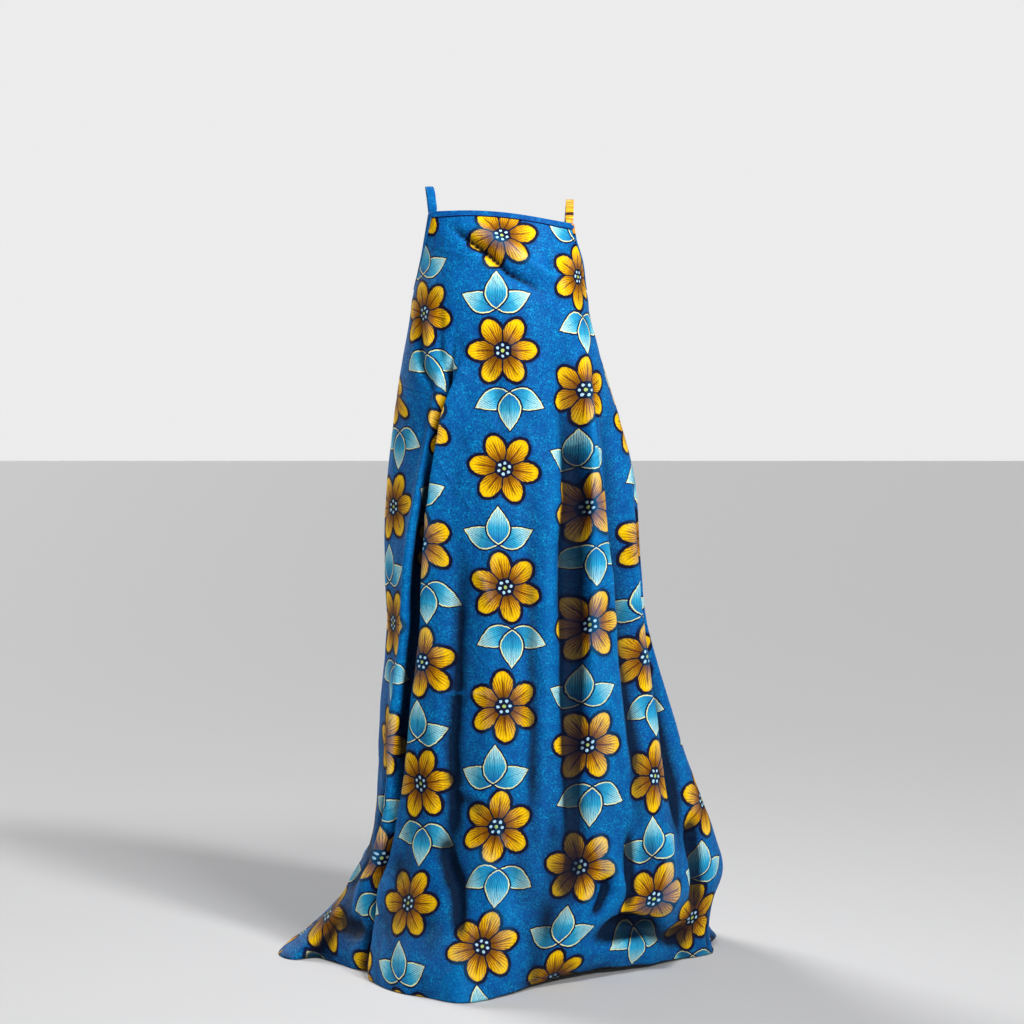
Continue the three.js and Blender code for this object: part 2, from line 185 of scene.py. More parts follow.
def ring(around, drop):
    """A level ring without folds: its point, its outward direction, and its metres a degree."""
    _, left, right, apex, front, back, side, bow, span = between(SECTIONS, drop)
    facing = turn_between(0, around)
    in_front = np.abs(facing) <= 90
    half = np.where(in_front, np.radians(np.minimum(span, 90)), math.pi / 2)
    turn = facing / 90 * half
    across = np.sin(turn) / np.sin(half)
    ahead = (np.abs(np.cos(turn)) - np.cos(half)) / (1 - np.cos(half))
    reach = np.where(facing > 0, right - apex, apex - left)
    depth = np.where(in_front, front, back) - side
    bend = np.where(in_front, bow, 1)
    outward = np.stack([
        np.sin(turn) * np.abs(depth),
        np.where(in_front, -1, 1) * np.abs(np.cos(turn)) * reach,
        np.zeros_like(turn),
    ], -1)
    outward /= np.linalg.norm(outward, axis=-1, keepdims=True)
    point = np.stack([
        apex + reach * across,
        side + depth * np.maximum(ahead, 0) ** bend,
        -drop,
    ], -1)
    per_degree = np.radians(np.hypot(reach * np.cos(turn), depth * np.sin(turn)))
    return point, outward, per_degree


def fold_line(fold, drop):
    """How far down a fold a place is, from 0 to 1, and how far around the fold's line lies there."""
    start, end, top, low = fold[:4]
    run = np.clip((drop / MM - start) / (end - start), 0, 1)
    return run, lerp(top, low, run)


def away_from_fold(fold, around, drop, per_degree):
    """How far a place lies from a fold's line, in metres, and how far down the fold it is, from 0 to 1."""
    run, line = fold_line(fold, drop)
    return turn_between(line, around) * per_degree, run


def fold_depth(around, drop, per_degree):
    depth = np.zeros_like(around)
    for fold in FOLDS:
        deep, before, after, widen, low = fold[4:]
        away, run = away_from_fold(fold, around, drop, per_degree)
        half = np.where(away < 0, before, after) * MM * (1 + widen * run)
        fade = lerp(1, low, smooth(run, FOLD_FADES, 1))
        depth += deep * MM * smooth(run, 0, FOLD_GROWN) * fade * np.exp(-((away / half) ** 2))
    for place, level, deep, wide, tall in BUCKLES:
        aside = turn_between(place, around) * per_degree / (wide * MM)
        down = (drop / MM - level) / tall
        depth += deep * MM * np.exp(-(aside**2) - down**2)
    return depth


def cloth_points(around, drop):
    """Points on the outer face of the cloth, with the outward and sideways directions of its rings."""
    point, outward, per_degree = ring(around, drop)
    low = np.clip((drop - HEM_ZONE) / (HEM - HEM_ZONE), 0, 1) ** 2
    facing = turn_between(0, around)
    _, hem_x, hem_y, lift = between(HEM_LINE, np.where(facing < -90, facing + 360, facing))
    point[..., 0] = lerp(point[..., 0], hem_x, low)
    point[..., 1] = lerp(point[..., 1], hem_y, low)
    point[..., 2] += lift * low
    point += outward * fold_depth(around, drop, per_degree)[..., None]
    sideways = np.stack([-outward[..., 1], outward[..., 0], outward[..., 2]], -1)
    return point, outward, sideways, per_degree


# The hard fold laps to the left over the cloth beside it, above a slot that opens wider lower down. A row
# is: how far from the fold's line its middle lies, its half-width, its shift to the left, and its rise,
# all in millimetres, and the share by which it opens. The lap grows between two drops. Over shares of its
# run it comes in to the line from beside it, loses its first steepness, opens, and fades to the hem.
HARD_FOLD = FOLDS[0]
LAP = [
    (14, 12, 30, 11, 0),
    (-18, 5, 0, -20, 0.45),
    (-36, 9, 0, 8, 0.2),
]
LAP_GROWS = (0.26, 0.44)
LAP_BESIDE = 0.014
LAP_COMES_IN = 0.4
LAP_STEEPER = 0.4
LAP_SETTLES = (0.05, 0.3)
LAP_OPENS = (0.22, 0.42)
LAP_FADES = 0.8
LAP_AT_HEM = 0.5


def lapped(point, around, drop, outward, sideways, per_degree):
    away, run = away_from_fold(HARD_FOLD, around, drop, per_degree)
    away = away - LAP_BESIDE * (1 - smooth(run, 0, LAP_COMES_IN))
    strength = smooth(drop, *LAP_GROWS) * lerp(1, LAP_AT_HEM, smooth(run, LAP_FADES, 1))
    steep = 1 + LAP_STEEPER * (1 - smooth(run, *LAP_SETTLES))
    for middle, half, shift, rise, opens in LAP:
        opened = 1 + opens * smooth(run, *LAP_OPENS)
        near = (strength * np.exp(-(((away / MM / opened - middle) / half) ** 2)))[..., None]
        point = point - sideways * near * shift * MM + outward * near * rise * MM * steep[..., None]
    return point


# The neck edge's drop at centre front, its fall from there to the right, and its dip to both sides
NECK_DROP = 46
NECK_FALL = 10.5
NECK_DIP = 6.5


def neck_drop(around):
    """The neck edge is nearly level on the left and falls towards the right."""
    across = np.sin(np.radians(around))
    return (NECK_DROP + NECK_FALL * across + NECK_DIP * across**2) * MM


def rows_below(top, chest_rows, skirt_rows, hem_rows):
    """The drops of each column's rows, from its top edge past the underarm to the hem."""
    middle = np.maximum(top, UNDERARM)
    chest = [lerp(top, middle, k / chest_rows) for k in range(chest_rows)] if chest_rows else []
    skirt = [lerp(middle, HEM_ZONE, k / skirt_rows) for k in range(skirt_rows)]
    low = [lerp(HEM_ZONE, HEM, k / hem_rows) + 0 * top for k in range(hem_rows + 1)]
    return np.stack([*chest, *skirt, *low])


FRONT_ROWS = (22, 158, 44)
# The columns at the hard fold, in metres to each side of its line
NEAR_FOLD = np.linspace(-0.052, 0.048, 51)
LEFT_COLUMNS = 38
RIGHT_COLUMNS = 124


def front_places(drop):
    """How far around each place of a row lies, with the columns closer together at the hard fold."""
    _, fold = fold_line(HARD_FOLD, drop[:, :1])
    _, _, per_degree = ring(fold, drop[:, :1])
    near = fold + NEAR_FOLD / per_degree
    left = lerp(-90, near[:, :1], np.arange(LEFT_COLUMNS) / LEFT_COLUMNS)
    right = lerp(near[:, -1:], 90, np.arange(1, RIGHT_COLUMNS + 1) / RIGHT_COLUMNS)
    return np.hstack([left, near, right])


# The rows start on the neck's curve and the columns lean with the fold, so both are worked out in turn.
around = front_places(np.full((1, 1), UNDERARM))
for _ in range(3):
    drop = rows_below(neck_drop(around[0]), *FRONT_ROWS)
    around = front_places(drop)


def facing_of(points):
    """The outward direction of each point of a grid of rows that run down and columns that run right."""
    down = np.gradient(points, axis=0)
    along = np.gradient(points, axis=1)
    normal = np.cross(down, along)
    return normal / np.linalg.norm(normal, axis=-1, keepdims=True)


def flat_cut(points, around, drop, middle, level):
    """Each point's place on the flat cloth, in metres to the right of the middle and up from a level."""
    across = np.linalg.norm(np.diff(points, axis=1), axis=-1)
    across = np.hstack([np.zeros((len(points), 1)), np.cumsum(across, axis=1)])
    down = np.linalg.norm(np.diff(points, axis=0), axis=-1)
    down = np.vstack([np.zeros((1, points.shape[1])), np.cumsum(down, axis=0)])
    for row in range(len(points)):
        across[row] -= np.interp(middle, around[row], across[row])
    for column in range(points.shape[1]):
        down[:, column] -= np.interp(level, drop[:, column], down[:, column])
    return across, -down


# Creases are pressed or dragged into the cloth along lines of its flat cut. A row is: the depth and
# half-width in millimetres, then the line's points in metres across and up.
FRONT_CREASES = [
    (-15, 7, (-0.118, 0.250), (-0.062, 0.209), (-0.023, 0.178), (0.008, 0.144),
     (0.041, 0.126), (0.095, 0.096)),
    (9, 13, (-0.110, 0.290), (-0.005, 0.200), (0.060, 0.154), (0.140, 0.110)),
    (-5, 9, (-0.182, 0.120), (-0.168, 0.006), (-0.177, -0.120)),
    (-5, 9, (-0.119, 0.100), (-0.120, -0.001), (-0.116, -0.110)),
    (4, 10, (-0.148, 0.110), (-0.145, 0.010), (-0.148, -0.100)),
    (-30, 26, (0.112, 0.080), (0.128, -0.128), (0.138, -0.262), (0.128, -0.342),
     (0.125, -0.631), (0.122, -0.93)),
    (12, 13, (0.166, 0.050), (0.170, -0.236), (0.164, -0.660)),
    (8, 14, (0.108, -0.420), (0.113, -0.739), (0.125, -0.960)),
    (-5, 6, (0.184, -0.040), (0.187, -0.164), (0.190, -0.270)),
    (4, 4, (-0.174, -0.627), (-0.082, -0.617), (0.000, -0.620)),
    (4, 4, (-0.130, -0.778), (-0.062, -0.788), (0.016, -0.828)),
    (-3, 9, (-0.120, -0.800), (-0.060, -0.810), (0.010, -0.850)),
    (4, 4, (-0.020, -0.832), (0.014, -0.875), (0.042, -0.930)),
    (4, 4, (-0.062, -0.384), (-0.039, -0.416), (-0.020, -0.462)),
    (-15, 12, (0.218, -0.920), (0.213, -0.969), (0.202, -1.040)),
    (13, 14, (0.175, -0.860), (0.219, -0.940), (0.280, -1.000)),
    (-11, 10, (0.252, -0.860), (0.259, -0.955), (0.280, -1.040)),
    (-24, 18, (0.230, -1.030), (0.320, -1.066), (0.420, -1.094)),
    (-28, 18, (0.430, -0.860), (0.455, -0.985), (0.500, -1.070)),
    (16, 20, (0.330, -0.860), (0.350, -0.960), (0.370, -1.060)),
    (-3, 5, (0.534, -1.080), (0.536, -1.120), (0.537, -1.150)),
    (-16, 18, (-0.130, -0.860), (-0.064, -0.955), (-0.030, -1.080)),
    (10, 22, (-0.060, -0.860), (0.020, -0.960), (0.060, -1.090)),
    (-12, 20, (0.046, -0.160), (0.050, -0.560), (0.072, -0.980)),
    (9, 22, (-0.020, -0.160), (-0.030, -0.560), (-0.010, -0.940)),
    (-21, 21, (-0.076, -0.280), (-0.098, -0.700), (-0.080, -1.000)),
    (-30, 33, (0.206, 0.020), (0.250, -0.420), (0.286, -0.900)),
    (8, 15, (0.196, -0.300), (0.226, -0.520), (0.256, -0.880)),
    (9, 17, (0.262, -0.200), (0.322, -0.560), (0.372, -0.880)),
    (-30, 25, (0.310, -0.180), (0.365, -0.640), (0.420, -0.990)),
    (-16, 20, (-0.205, -0.060), (-0.222, -0.420), (-0.290, -0.880)),
    (8, 13, (-0.238, -0.200), (-0.254, -0.520), (-0.330, -0.880)),
    (-12, 16, (-0.320, -0.720), (-0.380, -0.920), (-0.460, -1.040)),
    (9, 15, (-0.290, -0.820), (-0.350, -0.960), (-0.390, -1.070)),
    (-4, 11, (0.080, 0.230), (0.100, 0.120), (0.118, 0.020)),
    (3, 12, (-0.020, 0.080), (0.030, -0.010), (0.050, -0.140)),
    (-3, 12, (-0.060, 0.060), (-0.010, -0.060), (0.006, -0.200)),
]
# The shares of a crease's length over which it sets in, and past which it runs out
CREASE_SETS_IN = 0.3
CREASE_RUNS_OUT = 0.65
# The uneven waves: each one's share, its changes a metre across, by its slant and up, and its own seed.
# Then their height in millimetres, and the columns and rows over which they die out at an edge
WAVES = ((0.6, 16, 0, 4, 0), (0.4, 34, 9, 15, 7))
WAVE_HIGH = 5.0
CALM_COLUMNS = 7
CALM_ROWS = 8
# The furrow beside a side seam and the groove above the turned hem: their depth and half-width
SEAM_FURROW = (0.0014, 0.004)
HEM_GROOVE = (0.0010, 0.003)
HEM_TURN = 0.011


def creased(points, flat, creases, seed):
    """The points moved along their outward directions by the creases and by small uneven waves."""
    across, up = flat
    depth = np.zeros_like(across)
    for deep, half, *line in creases:
        line = np.array(line)
        lengths = np.linalg.norm(np.diff(line, axis=0), axis=-1)
        starts = np.concatenate([[0], np.cumsum(lengths)])
        nearest = np.full(across.shape, np.inf)
        along = np.zeros_like(across)
        for start, end, length, begun in zip(line[:-1], line[1:], lengths, starts):
            direction = (end - start) / length
            dx = across - start[0]
            dy = up - start[1]
            share = np.clip(dx * direction[0] + dy * direction[1], 0, length)
            distance = np.hypot(dx - share * direction[0], dy - share * direction[1])
            closer = distance < nearest
            nearest = np.where(closer, distance, nearest)
            along = np.where(closer, begun + share, along)
        run = along / starts[-1]
        taper = smooth(run, 0, CREASE_SETS_IN) * (1 - smooth(run, CREASE_RUNS_OUT, 1))
        depth += deep * MM * taper * np.exp(-((nearest / (half * MM)) ** 2))
    waves = np.empty_like(across)
    for index in np.ndindex(across.shape):
        x, y = across[index], up[index]
        waves[index] = sum(
            share * noise.noise(Vector((x * wide + y * slant, y * tall, seed + own)))
            for share, wide, slant, tall, own in WAVES
        )
    rows, columns = (np.arange(count) for count in across.shape)
    calm = smooth(np.minimum(columns, columns[::-1]), 0, CALM_COLUMNS) * smooth(rows, 0, CALM_ROWS)[:, None]
    depth = (depth + waves * WAVE_HIGH * MM) * calm
    beside = np.minimum(across - across[:, :1], across[:, -1:] - across)
    above_turn = up - up[-1] - HEM_TURN
    for away, (deep, half) in ((beside, SEAM_FURROW), (above_turn, HEM_GROOVE)):
        depth -= deep * np.exp(-((away / half) ** 2))
    return points + facing_of(points) * depth[..., None]


def hollow(points, rounds):
    """How far each point lies below the cloth round it, in metres: more than 0 in a trough."""
    level = points.copy()
    for _ in range(rounds):
        for axis in (0, 1):
            ends = np.concatenate([np.take(level, [0], axis), level, np.take(level, [-1], axis)], axis)
            count = level.shape[axis]
            before = np.take(ends, range(count), axis)
            after = np.take(ends, range(2, count + 2), axis)
            level = level / 2 + (before + after) / 4
    return ((level - points) * facing_of(points)).sum(-1)


# A fold's painted shade is its depth over the depth that counts as one, found by few rounds of smoothing
# for a narrow fold and by many for a broad one. It grows between two drops of the skirt, where a painted
# shade is also added over the whole lower skirt.
NARROW_FOLD = (14, 0.008)
BROAD_FOLD = (110, 0.017)
LOWER_SKIRT = (0.55, 1.25)
LOWER_GAIN = 0.7
LOWER_SHADE = 0.6


def fold_shade(points):
    # Painted shade: darker in the troughs of the folds, and darker all over the lower skirt
    shade = sum(hollow(points, rounds) / full for rounds, full in (NARROW_FOLD, BROAD_FOLD))
    lower = smooth(-points[..., 2], *LOWER_SKIRT)
    return shade * (1 + LOWER_GAIN * lower) + LOWER_SHADE * lower


def placed(name, data):
    made = bpy.data.objects.new(name, data)
    bpy.context.scene.collection.objects.link(made)
    return made


def grid_piece(name, points, flat, thickness):
    """A sheet through a grid of points, with its place on the flat cloth as its UV map, and an attribute
    that holds the painted shade of its folds and of its lower skirt."""
    rows, columns = points.shape[:2]
    sheet = bmesh.new()
    bmesh.ops.create_grid(sheet, x_segments=columns - 1, y_segments=rows - 1, size=0.5)
    layer = sheet.loops.layers.uv.new("flat_cut")
    sheet.verts.ensure_lookup_table()
    place = [
        (round((0.5 - v.co.y) * (rows - 1)), round((v.co.x + 0.5) * (columns - 1)))
        for v in sheet.verts
    ]
    for v in sheet.verts:
        v.co = points[place[v.index]]
    for face in sheet.faces:
        face.smooth = True
        for loop in face.loops:
            at = place[loop.vert.index]
            loop[layer].uv = (flat[0][at], flat[1][at])
    # This attribute carries the painted shade of the folds and the lower skirt, which the cloth's finish
    # lays on its colour
    deep = sheet.verts.layers.float.new("hollow")
    shade = fold_shade(points)
    for v in sheet.verts:
        v[deep] = shade[place[v.index]]
    mesh = bpy.data.meshes.new(name)
    sheet.to_mesh(mesh)
    sheet.free()
    piece = placed(name, mesh)
    shell = piece.modifiers.new("thickness", "SOLIDIFY")
    shell.thickness = thickness
    shell.offset = -1
    shell.use_even_offset = False
    return piece


# Wax print
# The cotton is printed on both sides: ochre blossoms in navy outlines and aqua leaf sprigs, on a blue
# ground with a fine crackle. The blossoms stand in columns that each start a third of a repeat lower.

COLUMN = 0.160
REPEAT = 0.214
# How far the printing wavers, and how far a blossom is turned from the next one across and up, in radians
WOBBLE = 0.0036
TURN_ACROSS = 1.7
TURN_UP = 0.9
PETALS = 6
PETAL_MIDDLE = 0.0385
PETAL_LONG = 0.0245
PETAL_WIDE = 0.0172
PETAL_GAP = 0.0014
PETAL_TONES = (0.014, 0.064)
PETAL_HATCH = 62
PETAL_RIB = 0.0015
RIM = 0.0034
OUTLINE = 0.0060
HALO = (0.036, 0.028)
HALO_FADES = 0.008
EYE = 0.0165
SEED_RING = 0.0102
SEED = 0.0027
HEART = 0.0031
# A leaf's angle in degrees, length and width, and the widths of its outline and its pale edge
SIDE_LEAF = (24, 0.069, 0.040)
MIDDLE_LEAF = (90, 0.070, 0.042)
LEAF_OUTLINE = 0.0034
LEAF_EDGE = 0.0019
LEAF_RIB = 0.0007
LEAF_STREAKS = 2100
SPRIG_ASIDE = 0.012
SPRIG_FOOT = 0.031


def paint(red, green, blue):
    """A colour of 0 to 255 a channel, as seen on a screen, as the light that a node mixes."""
    linear = [((c / 255 + 0.055) / 1.055) ** 2.4 if c > 10 else c / 255 / 12.92 for c in (red, green, blue)]
    return (*linear, 1)


class Reading:
    """A number that changes over the cloth, worked out by the nodes of a material."""

    def __init__(self, tree, socket):
        self.tree = tree
        self.socket = socket

    def then(self, operation, *others, clamp=False):
        node = self.tree.nodes.new("ShaderNodeMath")
        node.operation = operation
        node.use_clamp = clamp
        for place, term in enumerate((self, *others)):
            if isinstance(term, Reading):
                self.tree.links.new(term.socket, node.inputs[place])
            else:
                node.inputs[place].default_value = term
        return Reading(self.tree, node.outputs[0])

    def __add__(self, other):
        return self.then("ADD", other)

    def __sub__(self, other):
        return self.then("SUBTRACT", other)

    def __rsub__(self, other):
        return self.then("MULTIPLY_ADD", -1.0, other)

    def __mul__(self, other):
        return self.then("MULTIPLY", other)

    def __truediv__(self, other):
        return self.then("DIVIDE", other)

    def inside(self, softness=0.0005):
        """1 where this distance from an edge is above 0, 0 where it is below, and soft at the edge."""
        return self.then("MULTIPLY_ADD", 1 / softness, 0.5, clamp=True)

    def ramp(self, low, high):
        return ((self - low) / (high - low)).then("MULTIPLY", 1.0, clamp=True)


def coloured(tree, share, under, over):
    """The colour over laid on the colour under by a share of 0 to 1."""
    node = tree.nodes.new("ShaderNodeMix")
    node.data_type = "RGBA"
    for socket, value in ((node.inputs[0], share), (node.inputs[6], under), (node.inputs[7], over)):
        if isinstance(value, Reading):
            tree.links.new(value.socket, socket)
        elif isinstance(value, bpy.types.NodeSocket):
            tree.links.new(value, socket)
        else:
            socket.default_value = value
    return node.outputs[2]


def cut_readings(tree):
    """A place's metres across and up on the flat cloth."""
    uv = tree.nodes.new("ShaderNodeUVMap")
    uv.uv_map = "flat_cut"
    parts = tree.nodes.new("ShaderNodeSeparateXYZ")
    tree.links.new(uv.outputs[0], parts.inputs[0])
    return uv.outputs[0], Reading(tree, parts.outputs[0]), Reading(tree, parts.outputs[1])


def speckle(tree, vector, scale, detail=2.0, stretch=(1, 1, 1)):
    mapping = tree.nodes.new("ShaderNodeMapping")
    mapping.inputs["Scale"].default_value = stretch
    tree.links.new(vector, mapping.inputs["Vector"])
    texture = tree.nodes.new("ShaderNodeTexNoise")
    texture.inputs["Scale"].default_value = scale
    texture.inputs["Detail"].default_value = detail
    texture.inputs["Roughness"].default_value = 0.6
    tree.links.new(mapping.outputs[0], texture.inputs["Vector"])
    return Reading(tree, texture.outputs[0])


def cells(tree, vector, scale, feature):
    texture = tree.nodes.new("ShaderNodeTexVoronoi")
    texture.feature = feature
    texture.inputs["Scale"].default_value = scale
    tree.links.new(vector, texture.inputs["Vector"])
    return Reading(tree, texture.outputs["Distance"])


def blue_ground(tree, vector):
    """The blue ground: wax crackle, in specks and fine dark veins, over a slow change of depth."""
    fine = speckle(tree, vector, 300, 3.0).ramp(0.38, 0.64)
    coarse = speckle(tree, vector, 46, 3.0).ramp(0.34, 0.62)
    slow = speckle(tree, vector, 9, 2.0).ramp(0.35, 0.65)
    dots = (0.36 - cells(tree, vector, 210, "F1")).ramp(0, 0.14)
    veins = (0.05 - cells(tree, vector, 38, "DISTANCE_TO_EDGE")).ramp(0, 0.05)
    ground = coloured(tree, fine, paint(0, 60, 116), paint(0, 136, 204))
    ground = coloured(tree, coarse * 0.7, ground, paint(0, 74, 146))
    ground = coloured(tree, slow * 0.3, ground, paint(0, 84, 164))
    ground = coloured(tree, dots * (1.0 - coarse * 0.7) * 0.6, ground, paint(6, 172, 226))
    return coloured(tree, veins * fine * 0.5, ground, paint(0, 44, 112))


def blossom(tree, ground, x, y, turn, grain):
    """Six rounded petals in navy outlines round a navy eye with pale seeds."""
    reach = (x * x + y * y).then("SQRT")
    sixth = 2 * math.pi / PETALS
    angle = y.then("ARCTAN2", x) + turn
    aside = angle - (angle / sixth).then("ROUND") * sixth
    along = reach * aside.then("COSINE")
    across = reach * aside.then("SINE")

    def oval(centre, long, wide):
        a = (along - centre) / long
        b = across / wide
        return (1 - (a * a + b * b).then("SQRT")) * wide

    outline = oval(PETAL_MIDDLE, PETAL_LONG + OUTLINE, PETAL_WIDE + OUTLINE).inside()
    gap = reach * (sixth / 2 - aside.then("ABSOLUTE")).then("SINE")
    petal = oval(PETAL_MIDDLE, PETAL_LONG, PETAL_WIDE).inside() * (gap - PETAL_GAP).inside()
    halo = oval(PETAL_MIDDLE, *HALO).ramp(0, HALO_FADES)
    eye = (EYE - reach).inside()
    ochre = along.ramp(*PETAL_TONES)
    tone = coloured(tree, ochre.ramp(0.0, 0.4), paint(64, 36, 0), paint(204, 134, 0))
    tone = coloured(tree, ochre.ramp(0.25, 0.8), tone, paint(255, 204, 0))
    veins = (aside * PETAL_HATCH).then("SINE") * 0.5 + grain * 1.1
    hatch = veins.ramp(0.6, 0.86) * (1.0 - ochre.ramp(0.45, 1.0))
    tone = coloured(tree, hatch * 0.85, tone, paint(96, 52, 0))
    rib = (PETAL_RIB - across.then("ABSOLUTE")).inside() * (1.0 - ochre.ramp(0.55, 0.85))
    tone = coloured(tree, rib * 0.8, tone, paint(84, 28, 8))
    rim = (RIM - oval(PETAL_MIDDLE, PETAL_LONG, PETAL_WIDE)).ramp(0, RIM) * grain.ramp(0.3, 0.6)
    tone = coloured(tree, rim * 0.55, tone, paint(150, 104, 0))
    between_petals = angle / sixth + 0.5
    seed_aside = (angle + sixth / 2) - between_petals.then("ROUND") * sixth
    seed_x = reach * seed_aside.then("COSINE") - SEED_RING
    seed_y = reach * seed_aside.then("SINE")
    seeds = (SEED - (seed_x * seed_x + seed_y * seed_y).then("SQRT")).inside()
    colour = coloured(tree, halo * 0.7, ground, paint(14, 30, 104))
    colour = coloured(tree, outline.then("MAXIMUM", eye), colour, paint(12, 14, 44))
    colour = coloured(tree, petal * (1.0 - eye), colour, tone)
    colour = coloured(tree, seeds, colour, paint(176, 220, 244))
    return coloured(tree, (HEART - reach).inside(), colour, paint(176, 200, 104))


def leaf(tree, colour, x, y, size, grain):
    """A pointed leaf from the sprig's foot, aqua paling to mint, with a cream edge and a navy outline."""
    angle, length, width = size
    cos = math.cos(math.radians(angle))
    sin = math.sin(math.radians(angle))
    along = x * cos + y * sin
    across = (y * cos - x * sin).then("ABSOLUTE")

    def blade(extra):
        run = ((along + extra) / (length + 2 * extra)).then("MULTIPLY", 1.0, clamp=True)
        half = (run.then("POWER", 0.8) * math.pi).then("SINE") * (width / 2 + extra)
        return half - across - 0.0004

    run = (along / length).then("MULTIPLY", 1.0, clamp=True)
    tone = coloured(tree, run.ramp(0.05, 0.6), paint(8, 104, 176), paint(60, 192, 226))
    tone = coloured(tree, run.ramp(0.45, 0.95), tone, paint(204, 240, 232))
    streaks = (across * LEAF_STREAKS + grain * 4.0).then("SINE") * grain
    tone = coloured(tree, streaks.ramp(0.12, 0.46) * 0.8, tone, paint(4, 78, 118))
    rib = (LEAF_RIB - across).inside() * (1.0 - run.ramp(0.6, 0.9))
    tone = coloured(tree, rib * 0.8, tone, paint(10, 70, 120))
    colour = coloured(tree, blade(LEAF_OUTLINE).inside(), colour, paint(12, 24, 66))
    colour = coloured(tree, blade(0.0).inside(), colour, paint(240, 240, 176))
    return coloured(tree, blade(-LEAF_EDGE).inside(), colour, tone)


# How far a painted shade darkens the print in the folds and a painted highlight pales it on their ridges,
# how much this painted light is broken up, the threads of the weave as radians a metre, and the heights
# of the weave and of the crumples
FOLD_PAINTED_SHADE = 0.92
RIDGE_PAINTED_HIGHLIGHT = 0.14
FOLD_BREAK = 0.9
THREADS = 5200
WEAVE_HIGH = 0.00006
CRUMPLE_HIGH = 0.017
FINE_HIGH = 0.0016
PRESSED_HIGH = 0.0022


def finish_cloth(tree, colour, vector, crumple=0.5):
    """Soft cotton: a fine plain weave and small crumples under a little sheen. A painted shade darkens the
    print down in the folds and on the lower skirt, and a painted highlight pales it along the fold ridges."""
    shader = tree.nodes["Principled BSDF"]
    shader.inputs["Roughness"].default_value = 0.62
    shader.inputs["Specular IOR Level"].default_value = 0.08
    shader.inputs["Sheen Weight"].default_value = 0.01
    shader.inputs["Sheen Roughness"].default_value = 0.45
    # Painted light: the hollow attribute, broken up by noise, sets a painted shade in the folds and on the
    # lower skirt and a painted highlight on the fold ridges
    folds = tree.nodes.new("ShaderNodeAttribute")
    folds.attribute_name = "hollow"
    depth = Reading(tree, folds.outputs["Fac"]) + (speckle(tree, vector, 14, 3.0) - 0.5) * FOLD_BREAK
    painted_fold_light = coloured(tree, depth.ramp(0.0, 1.3) * FOLD_PAINTED_SHADE, colour, paint(0, 8, 30))
    painted_fold_light = coloured(tree, (depth * -1.0).ramp(0.2, 1.5) * RIDGE_PAINTED_HIGHLIGHT, painted_fold_light, paint(0, 176, 255))
    tree.links.new(painted_fold_light, shader.inputs["Base Color"])
    _, across, up = cut_readings(tree)
    warp = (across * THREADS).then("SINE")
    weft = (up * THREADS).then("SINE")
    weave = warp * weft * WEAVE_HIGH
    small = speckle(tree, vector, 22, 4.0, (1, 0.55, 1)) * CRUMPLE_HIGH * crumple
    fine = speckle(tree, vector, 110, 2.0) * FINE_HIGH * crumple
    pressed = 0.07 - cells(tree, vector, 8.5, "DISTANCE_TO_EDGE") - speckle(tree, vector, 30) * 0.06
    pressed = pressed.ramp(0, 0.05) * PRESSED_HIGH * crumple
    bump = tree.nodes.new("ShaderNodeBump")
    bump.inputs["Strength"].default_value = 0.8
    bump.inputs["Distance"].default_value = 1.0
    tree.links.new((weave + small + fine + pressed).socket, bump.inputs["Height"])
    tree.links.new(bump.outputs[0], shader.inputs["Normal"])


def material(name):
    made = bpy.data.materials.new(name)
    made.use_nodes = True
    return made, made.node_tree


printed_cotton, tree = material("printed_cotton")
vector, across, up = cut_readings(tree)
ground = blue_ground(tree, vector)
grain = speckle(tree, vector, 260, 2.0, (1, 0.25, 1))
across = across + (speckle(tree, vector, 110, 2.0) - 0.5) * WOBBLE
up = up + (speckle(tree, vector, 118, 2.0, (1.1, 0.9, 1)) - 0.5) * WOBBLE
column = (across / COLUMN).then("ROUND")
x = across - column * COLUMN
lowered = up / REPEAT + (column / 3).then("FRACT")
repeat = lowered.then("ROUND")
y = (lowered - repeat) * REPEAT
colour = blossom(tree, ground, x, y, column * TURN_ACROSS + repeat * TURN_UP, grain)
sprig = lowered.then("FLOOR")
flip = 1.0 - (column + sprig).then("PINGPONG", 1.0) * 2.0
leaf_x = (x + flip * SPRIG_ASIDE) * flip
leaf_y = (lowered - sprig - 0.5) * REPEAT * flip + SPRIG_FOOT
colour = leaf(tree, colour, leaf_x.then("ABSOLUTE"), leaf_y, SIDE_LEAF, grain)
colour = leaf(tree, colour, leaf_x, leaf_y, MIDDLE_LEAF, grain)
finish_cloth(tree, colour, vector)

point, outward, sideways, per_degree = cloth_points(around, drop)
point = lapped(point, around, drop, outward, sideways, per_degree)
point[:, (0, -1), 1] -= SEAM / 2
front_flat = flat_cut(point, around, drop, middle=0, level=0.3)
front_points = creased(point, front_flat, FRONT_CREASES, seed=3.0)
front_points[..., 2] = np.maximum(front_points[..., 2], CLOTH - HEM)
front_cloth = grid_piece("front_cloth", front_points, front_flat, THIN)
front_cloth.data.materials.append(printed_cotton)
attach(front_cloth, "root")
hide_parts("front_panel")


# Back cloth
# The back is one panel of the same print, cut away down to the small of the back in a low curve. It is
# sewn to the front down both sides, and its fullness hangs in soft flutes that reach the floor.

